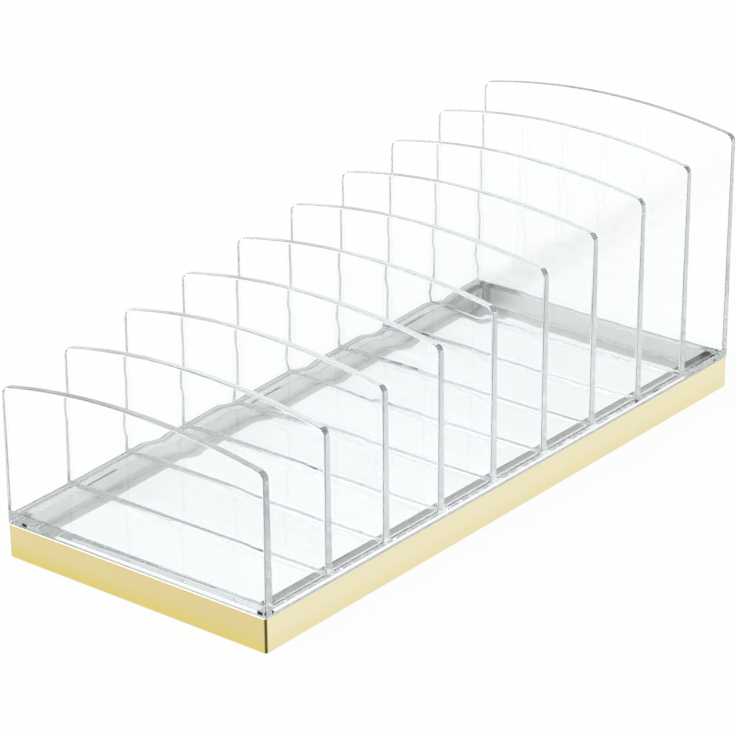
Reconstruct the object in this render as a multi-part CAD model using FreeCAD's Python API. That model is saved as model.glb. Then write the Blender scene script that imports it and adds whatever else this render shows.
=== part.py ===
import FreeCAD, Part
import math
import os

# Vanity organizer: a clear moulded body with graduated uprights, nested in a gold frame on soft feet.
# Millimetres. X runs across the width, Y from the low front to the tall back, Z up.
# The origin is on the table, under the middle of the base.

# Overall size
length = 235.0
width = 98.0

# Base frame: a thin hollow band, open at top and bottom
frame_height = 10.9
frame_wall = 1.8
frame_corner_radius = 1.0
frame_edge_break = 0.3

# Corner pads inside the frame, which carry the feet
pad_leg = 11.0
pad_thickness = 2.4
pad_inner_radius = 4.0

# Snap lugs on the frame, which hold the skirt from below
lug_count = 3
lug_length = 12.0
lug_reach = 0.9
lug_height = 1.2
lug_clearance = 0.1

# Soft bumper feet
foot_radius = 3.2
foot_standoff = 0.5
foot_seat_depth = 1.2
foot_seat_clearance = 0.1
foot_edge_break = 0.3
foot_inset = 5.0

# Floor plate and the skirt below it
plate_thickness = 3.0
skirt_thickness = 3.2
skirt_lift = 4.5
skirt_clearance = 0.15

# Uprights, measured up from the floor
upright_count = 10
front_corner_height = 39.85
back_corner_height = 73.5
arch_rise = 5.0
arch_arcs = 6
top_corner_radius = 2.2
upright_top_thickness = 2.4
upright_root_thickness = 2.9
root_fillet = 0.6
body_edge_break = 0.4

# How far a cutting shape runs past the face it cuts, and how near counts as touching
overrun = 1.0
tolerance = 0.001

half_length = length / 2
half_width = width / 2
frame_bottom = foot_standoff
frame_top = frame_bottom + frame_height
floor_top = frame_top + plate_thickness
skirt_bottom = frame_bottom + skirt_lift
upright_pitch = (length - upright_root_thickness) / (upright_count - 1)
corner_step = (back_corner_height - front_corner_height) / (upright_count - 1)

along_x = FreeCAD.Vector(1, 0, 0)
along_y = FreeCAD.Vector(0, 1, 0)
along_z = FreeCAD.Vector(0, 0, 1)


def runs_along(edge, direction):
    """True for a straight edge along the given axis."""
    straight = isinstance(edge.Curve, Part.Line)
    return straight and abs(edge.Curve.Direction.dot(direction)) > math.cos(math.radians(1))


def centred_block(size_x, size_y, bottom, top):
    """Block centred on the Z axis, between two heights."""
    corner = FreeCAD.Vector(-size_x / 2, -size_y / 2, bottom)
    return Part.makeBox(size_x, size_y, top - bottom, corner)


def foot_places():
    """Name, side sign and end sign of each foot."""
    for end_name, end in (("front", -1), ("back", 1)):
        for side_name, side in (("left", -1), ("right", 1)):
            yield "foot_" + end_name + "_" + side_name, side, end


def foot_base(side, end, height):
    """Point on a foot's axis, set in from the inner faces of the frame."""
    inset = frame_wall + foot_inset
    return FreeCAD.Vector(side * (half_width - inset), end * (half_length - inset), height)


def corner_pad(side, end):
    """Web across one inner corner of the frame, with a round seat for the foot in its underside."""
    corner = FreeCAD.Vector(
        side * (half_width - frame_wall / 2), end * (half_length - frame_wall / 2), frame_bottom
    )
    reach = pad_leg + frame_wall / 2
    over_x = along_x * (-side * reach)
    over_y = along_y * (-end * reach)
    outline = Part.makePolygon([corner, corner + over_x, corner + over_x + over_y, corner + over_y, corner])
    pad = Part.Face(outline).extrude(along_z * pad_thickness)
    free_corner = corner + over_x + over_y
    free_edges = [
        edge for edge in pad.Edges
        if runs_along(edge, along_z) and edge.distToShape(Part.Vertex(free_corner))[0] < tolerance
    ]
    pad = pad.makeFillet(pad_inner_radius, free_edges)
    seat_radius = foot_radius + foot_seat_clearance
    seat = Part.makeCylinder(
        seat_radius, foot_seat_depth + overrun, foot_base(side, end, frame_bottom - overrun)
    )
    return pad.cut(seat)


def snap_lugs():
    """Short wedge lugs along both long walls, just under the lower edge of the skirt."""
    lugs = []
    lug_top = skirt_bottom - lug_clearance
    lug_pitch = (length - 2 * frame_wall) / lug_count
    for side in (-1, 1):
        wall_face = side * (half_width - frame_wall)
        root = wall_face + side * frame_wall / 2
        tip = wall_face - side * (skirt_clearance + lug_reach)
        for number in range(lug_count):
            start = (number - (lug_count - 1) / 2) * lug_pitch - lug_length / 2
            wedge = Part.makePolygon([
                FreeCAD.Vector(root, start, lug_top),
                FreeCAD.Vector(tip, start, lug_top),
                FreeCAD.Vector(wall_face, start, lug_top - lug_height),
                FreeCAD.Vector(root, start, lug_top - lug_height),
                FreeCAD.Vector(root, start, lug_top),
            ])
            lugs.append(Part.Face(wedge).extrude(along_y * lug_length))
    return lugs


def base_frame():
    """Gold band with rounded corners and eased edges, four corner pads and the snap lugs."""
    outer = centred_block(width, length, frame_bottom, frame_top)
    outer = outer.makeFillet(
        frame_corner_radius, [edge for edge in outer.Edges if runs_along(edge, along_z)]
    )
    outer = outer.makeChamfer(
        frame_edge_break, [edge for edge in outer.Edges if not runs_along(edge, along_z)]
    )
    hole = centred_block(
        width - 2 * frame_wall, length - 2 * frame_wall, frame_bottom - overrun, frame_top + overrun
    )
    pads = [corner_pad(side, end) for _, side, end in foot_places()]
    return outer.cut(hole).fuse(pads + snap_lugs()).removeSplitter()


def bumper_foot(side, end):
    """Soft round foot with an eased lower edge, stuck in its seat."""
    foot = Part.makeCylinder(foot_radius, foot_standoff + foot_seat_depth, foot_base(side, end, 0))
    lower_edge = [edge for edge in foot.Edges if edge.BoundBox.ZMax < tolerance]
    return foot.makeChamfer(foot_edge_break, lower_edge)


def upright_place(number):
    """Y of an upright's mid-plane. The end ones are flush with the ends of the base."""
    return -half_length + upright_root_thickness / 2 + number * upright_pitch


def corner_height(number):
    """Z of the point where an upright's straight side would meet its arched top."""
    return floor_top + front_corner_height + number * corner_step


def blank_top(number):
    """Z at which an upright is left square, before its arch is cut."""
    return corner_height(number) + arch_rise + overrun


def inner_flank(number, facing):
    """Drafted flank of an upright towards a compartment: the fillet from the floor, then the rise to the top."""
    middle = upright_place(number)
    root_half = upright_root_thickness / 2
    top_half = upright_top_thickness / 2
    lean = math.atan2(root_half - top_half, blank_top(number) - floor_top)
    reach = root_half + root_fillet * (1 - math.sin(lean)) / math.cos(lean)
    centre = FreeCAD.Vector(0, middle + facing * reach, floor_top + root_fillet)

    def on_fillet(angle):
        spoke = FreeCAD.Vector(0, -facing * math.cos(angle), -math.sin(angle))
        return centre + spoke * root_fillet

    on_floor = on_fillet(math.pi / 2)
    on_side = on_fillet(lean)
    fillet = Part.Arc(on_floor, on_fillet((lean + math.pi / 2) / 2), on_side)
    top = FreeCAD.Vector(0, middle + facing * top_half, blank_top(number))
    return on_floor, fillet, on_side, top


def comb_section():
    """Lengthwise section through floor and uprights, with square tops, as one closed wire."""
    last = upright_count - 1
    front_low = FreeCAD.Vector(0, -half_length, frame_top)
    front_high = FreeCAD.Vector(0, -half_length, blank_top(0))
    back_low = FreeCAD.Vector(0, half_length, frame_top)
    back_high = FreeCAD.Vector(0, half_length, blank_top(last))
    edges = [Part.makeLine(front_low, front_high)]
    here = front_high
    for number in range(last):
        floor_a, fillet_a, side_a, top_a = inner_flank(number, 1)
        floor_b, fillet_b, side_b, top_b = inner_flank(number + 1, -1)
        edges += [
            Part.makeLine(here, top_a),
            Part.makeLine(top_a, side_a),
            fillet_a.toShape(),
            Part.makeLine(floor_a, floor_b),
            fillet_b.toShape(),
            Part.makeLine(side_b, top_b),
        ]
        here = top_b
    edges += [
        Part.makeLine(here, back_high),
        Part.makeLine(back_high, back_low),
        Part.makeLine(back_low, front_low),
    ]
    return Part.Wire(Part.sortEdges(edges)[0])


def arch_edges(front, side_top):
    """Shallow arch from side to side, drawn in equal short arcs so that the eased edge follows it evenly."""
    radius = (half_width ** 2 + arch_rise ** 2) / (2 * arch_rise)
    spread = math.asin(half_width / radius)

    def on_arch(share):
        angle = spread * (2 * share - 1)
        height = side_top + arch_rise - radius * (1 - math.cos(angle))
        return FreeCAD.Vector(radius * math.sin(angle), front, height)

    edges = []
    for number in range(arch_arcs):
        start_share, middle_share, end_share = [(number + part) / arch_arcs for part in (0, 0.5, 1)]
        arc = Part.Arc(on_arch(start_share), on_arch(middle_share), on_arch(end_share))
        edges.append(arc.toShape())
    return edges


def arch_trim(number):
    """What is cut off the square top of an upright to leave its shallow arch and round corners."""
    depth = upright_pitch - upright_root_thickness
    front = upright_place(number) - depth / 2
    side_top = corner_height(number)
    left_low = FreeCAD.Vector(-half_width, front, floor_top)
    left_top = FreeCAD.Vector(-half_width, front, side_top)
    right_top = FreeCAD.Vector(half_width, front, side_top)
    right_low = FreeCAD.Vector(half_width, front, floor_top)
    outline = Part.Wire(
        [Part.makeLine(left_low, left_top)]
        + arch_edges(front, side_top)
        + [Part.makeLine(right_top, right_low), Part.makeLine(right_low, left_low)]
    )
    kept = Part.Face(outline).extrude(along_y * depth)
    corners = [
        edge for edge in kept.Edges
        if runs_along(edge, along_y) and abs(edge.BoundBox.ZMin - side_top) < tolerance
    ]
    kept = kept.makeFillet(top_corner_radius, corners)
    blank = Part.makeBox(
        width + 2 * overrun,
        depth,
        arch_rise + top_corner_radius + 2 * overrun,
        FreeCAD.Vector(-half_width - overrun, front, side_top - top_corner_radius),
    )
    return blank.cut(kept)


def skirt():
    """Band below the floor that nests inside the frame."""
    inset = frame_wall + skirt_clearance
    inner_inset = inset + skirt_thickness
    root = frame_top + plate_thickness / 2
    band = centred_block(width - 2 * inset, length - 2 * inset, skirt_bottom, root)
    hollow = centred_block(
        width - 2 * inner_inset, length - 2 * inner_inset, skirt_bottom - overrun, frame_top
    )
    return band.cut(hollow)


def is_open_edge(edge):
    """True for an outline edge of an upright, a corner of the body or the rim of the floor."""
    box = edge.BoundBox
    if box.ZMax < floor_top - tolerance or runs_along(edge, along_x):
        return False
    if runs_along(edge, along_y):
        return abs(box.ZMin - floor_top) < tolerance
    return True


def organizer_body():
    """The clear moulding: floor, uprights and skirt in one piece, with its open edges eased."""
    section = Part.Face(comb_section())
    section.translate(along_x * -half_width)
    comb = section.extrude(along_x * width)
    comb = comb.cut([arch_trim(number) for number in range(upright_count)])
    comb = comb.makeChamfer(body_edge_break, [edge for edge in comb.Edges if is_open_edge(edge)])
    return comb.fuse(skirt()).removeSplitter()


def export(shape, name):
    """Write one piece under its own name."""
    shape.Solids[0].exportStep("parts/" + name + ".step")


os.makedirs("parts", exist_ok=True)
export(organizer_body(), "organizer_body")
export(base_frame(), "base_frame")
for foot_name, foot_side, foot_end in foot_places():
    export(bumper_foot(foot_side, foot_end), foot_name)
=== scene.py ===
import math
import bpy
import bmesh
from mathutils import Matrix, Vector


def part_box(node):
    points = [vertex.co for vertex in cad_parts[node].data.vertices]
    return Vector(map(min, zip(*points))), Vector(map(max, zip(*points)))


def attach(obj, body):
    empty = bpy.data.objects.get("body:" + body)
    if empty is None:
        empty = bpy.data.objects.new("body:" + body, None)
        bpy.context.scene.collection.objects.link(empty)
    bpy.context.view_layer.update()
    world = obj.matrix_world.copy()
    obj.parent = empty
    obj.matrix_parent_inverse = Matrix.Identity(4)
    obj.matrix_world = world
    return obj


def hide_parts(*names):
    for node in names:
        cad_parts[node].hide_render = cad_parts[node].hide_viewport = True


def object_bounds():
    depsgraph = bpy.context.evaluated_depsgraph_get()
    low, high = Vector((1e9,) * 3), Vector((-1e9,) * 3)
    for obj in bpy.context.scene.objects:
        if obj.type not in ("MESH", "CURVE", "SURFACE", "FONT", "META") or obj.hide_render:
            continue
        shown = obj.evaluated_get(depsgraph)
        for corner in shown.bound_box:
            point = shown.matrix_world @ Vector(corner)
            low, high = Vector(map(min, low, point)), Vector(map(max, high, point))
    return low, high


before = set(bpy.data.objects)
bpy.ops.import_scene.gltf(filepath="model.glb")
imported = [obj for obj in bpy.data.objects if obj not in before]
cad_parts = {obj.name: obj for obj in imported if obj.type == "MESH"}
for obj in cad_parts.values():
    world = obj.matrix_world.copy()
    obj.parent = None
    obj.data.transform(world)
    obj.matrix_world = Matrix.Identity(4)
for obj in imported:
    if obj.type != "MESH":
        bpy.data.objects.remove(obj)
cad_low, cad_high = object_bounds()

# Vanity organizer: a clear moulded body in a gold frame, on soft feet. Metres.

# Viewpoint of the photograph
view_azimuth = 38.5985
view_elevation = 22.7607
view_roll = -0.4292
view_place = Vector((0.501124, -0.638698, 0.374227))
view_lens = 140.217
sensor_width = 36.0

# Studio
floor_size = 6.0
floor_drop = 0.0002
floor_white = 0.98
floor_glow = 0.95
sky_light = 0.8
sky_top_share = 0.85
sky_fade = (0.15, 0.65)
horizon_fade = (0.08, 0.14)
key_place = Vector((-0.9, -0.9, 1.6))
key_size = 2.0
key_power = 18
light_bounces = 128

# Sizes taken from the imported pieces
frame_low, frame_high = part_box("base_frame")
body_low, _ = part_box("organizer_body")
half_width = frame_high.x
half_length = frame_high.y
plate_low = frame_high.z
skirt_low = body_low.z

# Clear moulding: outline of the solid, with a little more draft in the uprights and rounder edges
plate_thickness = 0.003
floor_top = plate_low + plate_thickness
upright_count = 10
root_thickness = 0.0033
top_thickness = 0.0024
front_corner = floor_top + 0.03985
back_corner = floor_top + 0.0735
arch_rise = 0.005
top_corner_radius = 0.0022
top_corner_segments = 6
skirt_inset = 0.00195
skirt_thickness = 0.0032
edge_round = 0.0005
root_round = 0.0005
round_segments = 3

# Fuller margin along the sides and top of each upright, which bends what is seen through it
margin_width = 0.008
flank_hollow = 0.00008
side_steps = (0, 0.0032, 0.0045, 0.006, 0.008, 0.011, 0.015, 0.02, 0.026, 0.033, 0.041)
top_drops = (0.008, 0.006, 0.0045, 0.0032, 0)

# Limits for picking out edges and faces of the moulding
near = 1e-6
sharp_angle = math.radians(50)
upward = 0.9
flat_facing = 0.999
flank_facing = 0.995
arch_facing = 0.97
arch_lean = 0.02
face_strength = 16384

# Clear finish
plastic_ior = 1.57
mirror_colour = (0.6, 0.6, 0.6, 1)
depth_colour = (0.60, 0.68, 0.71, 1)
depth_density = 3
floor_colour = (0.962, 0.991, 0.996, 1)
upright_colour = (0.996, 0.999, 1, 1)
matte_colour = (0.88, 0.89, 0.90, 1)
level_slack = 0.00005
matte_rise = 0.002
rub_roughness = 0.02
edge_roughness = 0.2
skirt_roughness = 0.08
edge_clearness = 0.75
skirt_clearness = 0.85

# Gold finish, with painted light and shade
gold_colour = (0.74, 0.61, 0.275, 1)
light_gold_colour = (0.80, 0.69, 0.375, 1)
# Paler gold for the side faces: painted reflection, making the sides paler than the ends
side_sheen_colour = (0.87, 0.80, 0.56, 1)
# Deeper, yellower gold painted towards the foot as shade
low_shade_colour = (0.755, 0.635, 0.195, 1)
corner_colour = (0.13, 0.08, 0.012, 1)
# Painted light: how much lighter the outside gold turns towards the left side
left_painted_light_share = 0.7
cloud_light_share = 0.3
# Painted reflection: share of the paler gold on the side faces
side_sheen_share = 0.9
# Painted shade: share of the deeper gold low down, on the ends and on the sides
end_low_shade_share = 0.9
side_low_shade_share = 0.25
gold_roughness = (0.1, 0.18)
frame_skin = 0.0004
rim_gap = 0.0003
corner_band = 0.0008
corner_core = 0.6 * corner_band
frame_tall = frame_high.z - frame_low.z
# Painted shade towards the foot: full up to 15% of the frame's height, gone at 55%
low_shade_full = frame_low.z + 0.15 * frame_tall
low_shade_start = frame_low.z + 0.55 * frame_tall

# Bare inside of the frame, silver grey with painted light and shade: paler low down and palest behind the
# skirt
bare_lit_low_colour = (0.66, 0.65, 0.63, 1)
bare_shaded_high_colour = (0.45, 0.45, 0.44, 1)
painted_skirt_light_colour = (0.96, 0.96, 0.95, 1)
bare_extra_roughness = 0.3

# Soft feet
foot_dark_colour = (0.55, 0.55, 0.53, 1)
foot_pale_colour = (0.68, 0.68, 0.66, 1)
foot_roughness = (0.55, 0.8)
foot_grain_strength = 0.2
foot_grain_depth = 0.0002


def new_material(name):
    """Empty node material, with its node tree and its output node."""
    material = bpy.data.materials.new(name)
    material.use_nodes = True
    tree = material.node_tree
    tree.nodes.clear()
    return material, tree, tree.nodes.new("ShaderNodeOutputMaterial")


def object_place(tree):
    """Object coordinates."""
    return tree.nodes.new("ShaderNodeTexCoord").outputs["Object"]


def separate(tree, vector):
    """The three parts of a vector."""
    node = tree.nodes.new("ShaderNodeSeparateXYZ")
    tree.links.new(vector, node.inputs["Vector"])
    return node.outputs["X"], node.outputs["Y"], node.outputs["Z"]


def noise(tree, vector, scale, detail, roughness):
    """Noise texture on the given coordinates."""
    texture = tree.nodes.new("ShaderNodeTexNoise")
    texture.inputs["Scale"].default_value = scale
    texture.inputs["Detail"].default_value = detail
    texture.inputs["Roughness"].default_value = roughness
    tree.links.new(vector, texture.inputs["Vector"])
    return texture.outputs["Fac"]


def mapped_range(tree, value, low, high, to_low, to_high):
    """Linear range from one span to another, clamped."""
    node = tree.nodes.new("ShaderNodeMapRange")
    node.inputs["From Min"].default_value = low
    node.inputs["From Max"].default_value = high
    node.inputs["To Min"].default_value = to_low
    node.inputs["To Max"].default_value = to_high
    tree.links.new(value, node.inputs["Value"])
    return node.outputs["Result"]


def math_node(tree, operation, first, second=None):
    """One arithmetic step. Each side is a socket or a number."""
    node = tree.nodes.new("ShaderNodeMath")
    node.operation = operation
    for socket, value in zip(node.inputs, (first, second)):
        if isinstance(value, (int, float)):
            socket.default_value = value
        elif value is not None:
            tree.links.new(value, socket)
    return node.outputs["Value"]


def mixed(tree, share, first, second):
    """Mix of two colours. Each is a socket or a fixed colour."""
    node = tree.nodes.new("ShaderNodeMix")
    node.data_type = "RGBA"
    tree.links.new(share, node.inputs["Factor"])
    for name, colour in (("A", first), ("B", second)):
        if isinstance(colour, tuple):
            node.inputs[name].default_value = colour
        else:
            tree.links.new(colour, node.inputs[name])
    return node.outputs["Result"]


def clear_plastic():
    """Clear polished moulding: faintly cyan floor, matte grey cut edges, hazy skirt and fine rub marks."""
    material, tree, output = new_material("clear_plastic")
    place = object_place(tree)
    _, _, height = separate(tree, place)
    edge = tree.nodes.new("ShaderNodeAttribute")
    edge.attribute_name = "edge"
    standing = mapped_range(tree, height, floor_top, floor_top + matte_rise, 0, 1)
    over_skirt = math_node(tree, "GREATER_THAN", height, plate_low - level_slack)
    under_skirt = math_node(tree, "LESS_THAN", height, skirt_low + level_slack)
    raw_edge = math_node(tree, "MULTIPLY", edge.outputs["Fac"], standing)
    matte = math_node(tree, "MAXIMUM", raw_edge, under_skirt)

    rub = noise(tree, place, scale=900, detail=4, roughness=0.6)
    polish = mapped_range(tree, rub, 0.45, 0.75, 0, rub_roughness)
    frost = mapped_range(tree, matte, 0, 1, 0, edge_roughness)
    haze = mapped_range(tree, over_skirt, 0, 1, skirt_roughness, 0)
    satin = math_node(tree, "ADD", polish, math_node(tree, "MAXIMUM", frost, haze))
    clear_edge = mapped_range(tree, raw_edge, 0, 1, 1, edge_clearness)
    clear_skirt = mapped_range(tree, under_skirt, 0, 1, 1, skirt_clearness)
    clearness = math_node(tree, "MINIMUM", clear_edge, clear_skirt)

    in_floor = math_node(tree, "SUBTRACT", over_skirt, standing)
    off_floor = math_node(tree, "SUBTRACT", 1, in_floor)
    clear_tone = mixed(tree, off_floor, floor_colour, upright_colour)
    tone = mixed(tree, matte, clear_tone, matte_colour)

    shader = tree.nodes.new("ShaderNodeBsdfPrincipled")
    shader.inputs["IOR"].default_value = plastic_ior
    shader.inputs["Specular Tint"].default_value = mirror_colour
    tree.links.new(tone, shader.inputs["Base Color"])
    tree.links.new(satin, shader.inputs["Roughness"])
    tree.links.new(clearness, shader.inputs["Transmission Weight"])
    tree.links.new(shader.outputs["BSDF"], output.inputs["Surface"])
    tint = tree.nodes.new("ShaderNodeVolumeAbsorption")
    tint.inputs["Color"].default_value = depth_colour
    tint.inputs["Density"].default_value = depth_density
    tree.links.new(tint.outputs["Volume"], output.inputs["Volume"])
    return material


def gold_finish():
    """Metallised gold outside, dark in the corners, with painted light to the left and on the sides and
    painted shade towards the foot; silver grey inside, with painted light and shade.
    """
    material, tree, output = new_material("gold_finish")
    place = object_place(tree)
    x, y, z = separate(tree, place)
    across = math_node(tree, "ABSOLUTE", x)
    along = math_node(tree, "ABSOLUTE", y)
    on_side = math_node(tree, "GREATER_THAN", across, half_width - frame_skin)
    on_end = math_node(tree, "GREATER_THAN", along, half_length - frame_skin)
    under_rim = math_node(tree, "LESS_THAN", z, frame_high.z - rim_gap)
    skin = math_node(tree, "MAXIMUM", on_side, on_end)
    outside = math_node(tree, "MULTIPLY", skin, under_rim)

    # Painted light: lighter gold towards the left; the cloud adds tone that differs at random
    painted_left_light = mapped_range(tree, x, -half_width, half_width, left_painted_light_share, 0)
    cloud = noise(tree, place, scale=24, detail=3, roughness=0.5)
    clouded = mapped_range(tree, cloud, 0.35, 0.65, 0, cloud_light_share)
    painted_light_and_cloud_share = math_node(tree, "ADD", painted_left_light, clouded)
    light_gold = mixed(tree, painted_light_and_cloud_share, gold_colour, light_gold_colour)
    # Painted reflection: the side faces turn paler than the ends
    side_sheen_mix = mapped_range(tree, on_side, 0, 1, 0, side_sheen_share)
    sheened_gold = mixed(tree, side_sheen_mix, light_gold, side_sheen_colour)
    # Painted shade: deeper, yellower gold low down, more on the ends than on the sides
    low_down = mapped_range(tree, z, low_shade_full, low_shade_start, 1, 0)
    most_low_shade = mapped_range(tree, on_side, 0, 1, end_low_shade_share, side_low_shade_share)
    low_shade_mix = math_node(tree, "MULTIPLY", low_down, most_low_shade)
    low_shaded_gold = mixed(tree, low_shade_mix, sheened_gold, low_shade_colour)
    side_gap = math_node(tree, "SUBTRACT", half_width, across)
    end_gap = math_node(tree, "SUBTRACT", half_length, along)
    corner_gap = math_node(tree, "MAXIMUM", side_gap, end_gap)
    in_corner = mapped_range(tree, corner_gap, corner_core, corner_band, 1, 0)
    gold = mixed(tree, in_corner, low_shaded_gold, corner_colour)

    # Painted light and shade inside the frame: the bare wall pales towards the bottom and darkens up
    # towards the skirt, and the wall behind the skirt is painted almost white
    rising = mapped_range(tree, z, frame_low.z, skirt_low, 0, 1)
    bare = mixed(tree, rising, bare_lit_low_colour, bare_shaded_high_colour)
    behind_skirt = math_node(tree, "GREATER_THAN", z, skirt_low)
    inside = mixed(tree, behind_skirt, bare, painted_skirt_light_colour)
    haze = noise(tree, place, scale=700, detail=4, roughness=0.6)
    gloss = mapped_range(tree, haze, 0.4, 0.7, *gold_roughness)
    dull = mapped_range(tree, outside, 0, 1, bare_extra_roughness, 0)

    shader = tree.nodes.new("ShaderNodeBsdfPrincipled")
    shader.inputs["Metallic"].default_value = 1
    tree.links.new(mixed(tree, outside, inside, gold), shader.inputs["Base Color"])
    tree.links.new(math_node(tree, "ADD", gloss, dull), shader.inputs["Roughness"])
    tree.links.new(shader.outputs["BSDF"], output.inputs["Surface"])
    return material


def soft_foot():
    """Pale rubber with a fine matte grain."""
    material, tree, output = new_material("soft_foot")
    grain = noise(tree, object_place(tree), scale=2500, detail=3, roughness=0.6)
    bump = tree.nodes.new("ShaderNodeBump")
    bump.inputs["Strength"].default_value = foot_grain_strength
    bump.inputs["Distance"].default_value = foot_grain_depth
    tree.links.new(grain, bump.inputs["Height"])
    tone = mixed(tree, grain, foot_dark_colour, foot_pale_colour)
    dull = mapped_range(tree, grain, 0.3, 0.7, *foot_roughness)
    shader = tree.nodes.new("ShaderNodeBsdfPrincipled")
    tree.links.new(tone, shader.inputs["Base Color"])
    tree.links.new(dull, shader.inputs["Roughness"])
    tree.links.new(bump.outputs["Normal"], shader.inputs["Normal"])
    tree.links.new(shader.outputs["BSDF"], output.inputs["Surface"])
    return material


def verts_of(parts):
    """The vertices among what an operator returns."""
    return [part for part in parts if isinstance(part, bmesh.types.BMVert)]


def faces_of(parts):
    """The faces among what an operator returns."""
    return [part for part in parts if isinstance(part, bmesh.types.BMFace)]


def grow(shape, faces):
    """Extrude faces out of a closed shape, and return the new vertices and faces."""
    grown = bmesh.ops.extrude_face_region(shape, geom=faces)["geom"]
    bmesh.ops.delete(shape, geom=faces, context="FACES")
    return verts_of(grown), faces_of(grown)


def inset(shape, faces, width):
    """Inset a flat region all round, and return the ring of new faces."""
    return bmesh.ops.inset_region(
        shape, faces=faces, thickness=width, use_even_offset=True, use_boundary=True
    )["faces"]


def round_off(shape, edges, radius, segments, clamp):
    """Round edges, or fill inner ones, to a radius."""
    bmesh.ops.bevel(
        shape, geom=edges, offset=radius, offset_type="OFFSET", segments=segments, profile=0.5,
        affect="EDGES", material=-1, clamp_overlap=clamp
    )


def join_flat(shape, axis, sign):
    """Merge the flat faces that look along one axis into one."""
    inner = [
        edge for edge in shape.edges
        if len(edge.link_faces) == 2
        and all(face.normal[axis] * sign > flat_facing for face in edge.link_faces)
    ]
    bmesh.ops.dissolve_edges(shape, edges=inner, use_verts=True)
    return [face for face in shape.faces if face.normal[axis] * sign > flat_facing]


def arch_height(x):
    """Height of an upright's arched top over its side corners, at one place across the width."""
    radius = (half_width ** 2 + arch_rise ** 2) / (2 * arch_rise)
    return arch_rise - radius + math.sqrt(radius ** 2 - x ** 2)


def thinning(gap):
    """How far a flank has fallen back behind its margin: 0 at the outline, 1 past the margin."""
    share = min(max(gap / margin_width, 0), 1)
    return share ** 2 * (3 - 2 * share)


def set_level(verts, middle, corner, drop):
    """Put the new vertices of an upright at one depth below its arch, on its drafted flanks."""
    for vert in verts:
        height = corner + arch_height(vert.co.x) - drop
        share = (height - floor_top) / (corner + arch_rise - floor_top)
        half = (root_thickness + (top_thickness - root_thickness) * share) / 2
        hollow = flank_hollow * thinning(drop) * thinning(half_width - abs(vert.co.x))
        facing = 1 if vert.co.y > middle else -1
        vert.co.y = middle + facing * (half - hollow)
        vert.co.z = height


def floor_sheet(middles):
    """Flat sheet at floor level, with grid lines at every upright, thickened to the floor plate."""
    right = [half_width - step for step in side_steps]
    across = sorted([-place for place in right] + [0] + right)
    along = sorted(middle + side * root_thickness / 2 for middle in middles for side in (-1, 1))
    columns = len(across) - 1
    rows = len(along) - 1
    shape = bmesh.new()
    bmesh.ops.create_grid(shape, x_segments=columns, y_segments=rows, size=1)
    for vert in shape.verts:
        column = round((vert.co.x + 1) / 2 * columns)
        row = round((vert.co.y + 1) / 2 * rows)
        vert.co = (across[column], along[row], floor_top)
    grown = bmesh.ops.extrude_face_region(shape, geom=list(shape.faces))["geom"]
    bmesh.ops.translate(shape, verts=verts_of(grown), vec=(0, 0, plate_low - floor_top))
    bmesh.ops.recalc_face_normals(shape, faces=list(shape.faces))
    return shape


def raise_uprights(shape, middles):
    """Grow the uprights out of the floor, level by level, to their arched tops."""
    for number, middle in enumerate(middles):
        corner = front_corner + (back_corner - front_corner) * number / (upright_count - 1)
        faces = [
            face for face in shape.faces
            if face.normal.z > upward
            and abs(face.calc_center_median().y - middle) < root_thickness / 2
        ]
        for drop in top_drops:
            verts, faces = grow(shape, faces)
            set_level(verts, middle, corner, drop)
    shape.normal_update()
    join_flat(shape, axis=0, sign=1)
    join_flat(shape, axis=0, sign=-1)


def lower_skirt(shape):
    """Grow the skirt that nests in the frame out of the floor's underside."""
    underside = join_flat(shape, axis=2, sign=-1)
    inset(shape, underside, skirt_inset)
    ring = inset(shape, underside, skirt_thickness)
    verts, _ = grow(shape, ring)
    bmesh.ops.translate(shape, verts=verts, vec=(0, 0, skirt_low - plate_low))
    bmesh.ops.recalc_face_normals(shape, faces=list(shape.faces))


def at_top_corner(vert):
    """Whether a vertex lies on the side of an upright, at the height of a top corner or above."""
    return abs(vert.co.x) > half_width - near and vert.co.z > front_corner - near


def round_edges(shape):
    """Round the uprights' top corners, their roots and every open edge above the frame."""
    corners = [
        edge for edge in shape.edges
        if edge.calc_length() < root_thickness
        and all(at_top_corner(vert) for vert in edge.verts)
        and abs(edge.verts[0].co.y - edge.verts[1].co.y) > top_thickness / 2
    ]
    round_off(shape, corners, top_corner_radius, top_corner_segments, clamp=True)
    roots = [
        edge for edge in shape.edges
        if edge.calc_face_angle_signed() < -sharp_angle
        and all(abs(vert.co.z - floor_top) < near for vert in edge.verts)
    ]
    round_off(shape, roots, root_round, round_segments, clamp=False)
    shape.normal_update()
    open_edges = [
        edge for edge in shape.edges
        if edge.calc_face_angle() > sharp_angle
        and min(vert.co.z for vert in edge.verts) > plate_low - near
        and max(vert.co.z for vert in edge.verts) > floor_top - near
    ]
    round_off(shape, open_edges, edge_round, round_segments, clamp=False)
    bmesh.ops.recalc_face_normals(shape, faces=list(shape.faces))
    shape.normal_update()


def mark_faces(shape):
    """Let flat faces rule the shading of the rounds beside them, and mark the uprights' cut edges."""
    worn = shape.verts.layers.float.new("edge")
    firm = shape.faces.layers.int.new("__mod_weightednormals_faceweight")
    for face in shape.faces:
        face.smooth = True
        side_end = abs(face.normal.x) > flat_facing
        arched_top = face.normal.z > arch_facing and abs(face.normal.y) < arch_lean
        flank = abs(face.normal.y) > flank_facing
        underside = face.normal.z < -flat_facing
        flat = side_end or arched_top or flank or underside
        face[firm] = face_strength if flat else -face_strength
        above = face.calc_center_median().z > floor_top + edge_round
        if above and (side_end or arched_top):
            for vert in face.verts:
                vert[worn] = 1


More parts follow.
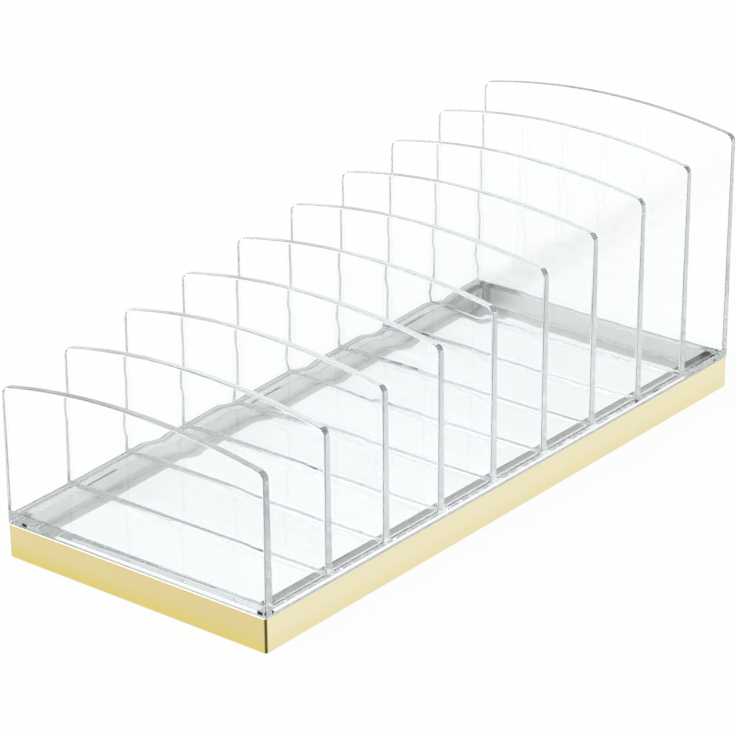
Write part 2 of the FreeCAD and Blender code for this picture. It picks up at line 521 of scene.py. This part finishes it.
def clear_body():
    """The clear moulding: uprights and skirt grown out of the floor, with round open edges and roots."""
    pitch = (2 * half_length - root_thickness) / (upright_count - 1)
    middles = [-half_length + root_thickness / 2 + number * pitch for number in range(upright_count)]
    shape = floor_sheet(middles)
    raise_uprights(shape, middles)
    lower_skirt(shape)
    round_edges(shape)
    mark_faces(shape)
    mesh = bpy.data.meshes.new("clear_body")
    shape.to_mesh(mesh)
    shape.free()
    mesh.set_sharp_from_angle(angle=sharp_angle)
    piece = bpy.data.objects.new("clear_body", mesh)
    bpy.context.scene.collection.objects.link(piece)
    shading = piece.modifiers.new("edge_shading", "WEIGHTED_NORMAL")
    shading.keep_sharp = True
    shading.use_face_influence = True
    mesh.materials.append(clear_plastic())
    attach(piece, "root")
    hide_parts("organizer_body")


def dress(node, material):
    """Give a CAD node its finish."""
    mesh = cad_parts[node].data
    mesh.materials.clear()
    mesh.materials.append(material)


def white_share(tree):
    """Share of plain white: all in gloss and clear plastic, less for the camera, which sees the shadow."""
    rays = tree.nodes.new("ShaderNodeLightPath").outputs
    direct = math_node(tree, "MULTIPLY", rays["Is Camera Ray"], floor_glow)
    indirect = math_node(tree, "MAXIMUM", rays["Is Glossy Ray"], rays["Is Transmission Ray"])
    return math_node(tree, "MAXIMUM", direct, indirect)


def white_floor():
    """Plain white floor that keeps a faint shadow."""
    shape = bmesh.new()
    bmesh.ops.create_grid(shape, x_segments=1, y_segments=1, size=floor_size / 2)
    bmesh.ops.translate(shape, verts=shape.verts, vec=(0, 0, cad_low.z - floor_drop))
    mesh = bpy.data.meshes.new("floor")
    shape.to_mesh(mesh)
    shape.free()
    floor = bpy.data.objects.new("floor", mesh)
    bpy.context.scene.collection.objects.link(floor)
    material, tree, output = new_material("floor_white")
    paint = tree.nodes.new("ShaderNodeBsdfDiffuse")
    paint.inputs["Color"].default_value = (floor_white, floor_white, floor_white, 1)
    glow = tree.nodes.new("ShaderNodeEmission")
    both = tree.nodes.new("ShaderNodeMixShader")
    tree.links.new(white_share(tree), both.inputs["Fac"])
    tree.links.new(paint.outputs["BSDF"], both.inputs[1])
    tree.links.new(glow.outputs["Emission"], both.inputs[2])
    tree.links.new(both.outputs["Shader"], output.inputs["Surface"])
    mesh.materials.append(material)


def studio_sky():
    """Soft light all round from a white horizon and a greyer upper room, plain white for the camera."""
    world = bpy.data.worlds.new("studio")
    bpy.context.scene.world = world
    world.use_nodes = True
    tree = world.node_tree
    tree.nodes.clear()
    output = tree.nodes.new("ShaderNodeOutputWorld")
    direction = tree.nodes.new("ShaderNodeTexCoord").outputs["Generated"]
    _, _, height = separate(tree, direction)
    upper = mapped_range(tree, height, *sky_fade, sky_light, sky_light * sky_top_share)
    horizon = mapped_range(tree, height, *horizon_fade, 1, 0)
    rays = tree.nodes.new("ShaderNodeLightPath")
    white = math_node(tree, "MAXIMUM", horizon, rays.outputs["Is Camera Ray"])
    light = tree.nodes.new("ShaderNodeBackground")
    light.inputs["Color"].default_value = (1, 1, 1, 1)
    tree.links.new(math_node(tree, "MAXIMUM", upper, white), light.inputs["Strength"])
    tree.links.new(light.outputs["Background"], output.inputs["Surface"])


def key_light():
    """Large square soft light from the left, aimed at the object's middle."""
    data = bpy.data.lights.new("key", "AREA")
    data.shape = "SQUARE"
    data.size = key_size
    data.energy = key_power
    lamp = bpy.data.objects.new("key", data)
    bpy.context.scene.collection.objects.link(lamp)
    target = (cad_low + cad_high) / 2
    aim = (target - key_place).to_track_quat("-Z", "Y")
    lamp.matrix_world = Matrix.LocRotScale(key_place, aim, None)


def photo_camera():
    """Camera at the photograph's viewpoint."""
    data = bpy.data.cameras.new("camera")
    data.lens = view_lens
    data.sensor_width = sensor_width
    camera = bpy.data.objects.new("camera", data)
    bpy.context.scene.collection.objects.link(camera)
    turn = math.radians(view_azimuth)
    rise = math.radians(view_elevation)
    back = Vector((math.sin(turn) * math.cos(rise), -math.cos(turn) * math.cos(rise), math.sin(rise)))
    right = Vector((0, 0, 1)).cross(back).normalized()
    up = back.cross(right)
    level = Matrix((right, up, back)).transposed()
    roll = Matrix.Rotation(math.radians(view_roll), 3, "Z")
    camera.matrix_world = Matrix.LocRotScale(view_place, (level @ roll).to_quaternion(), None)
    bpy.context.scene.camera = camera


clear_body()
dress("base_frame", gold_finish())
foot_rubber = soft_foot()
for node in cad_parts:
    if node.startswith("foot_"):
        dress(node, foot_rubber)

white_floor()
studio_sky()
key_light()
photo_camera()
bpy.context.scene.view_settings.view_transform = "Standard"
bpy.context.scene.cycles.max_bounces = light_bounces
bpy.context.scene.cycles.transmission_bounces = light_bounces
bpy.context.scene.cycles.glossy_bounces = light_bounces
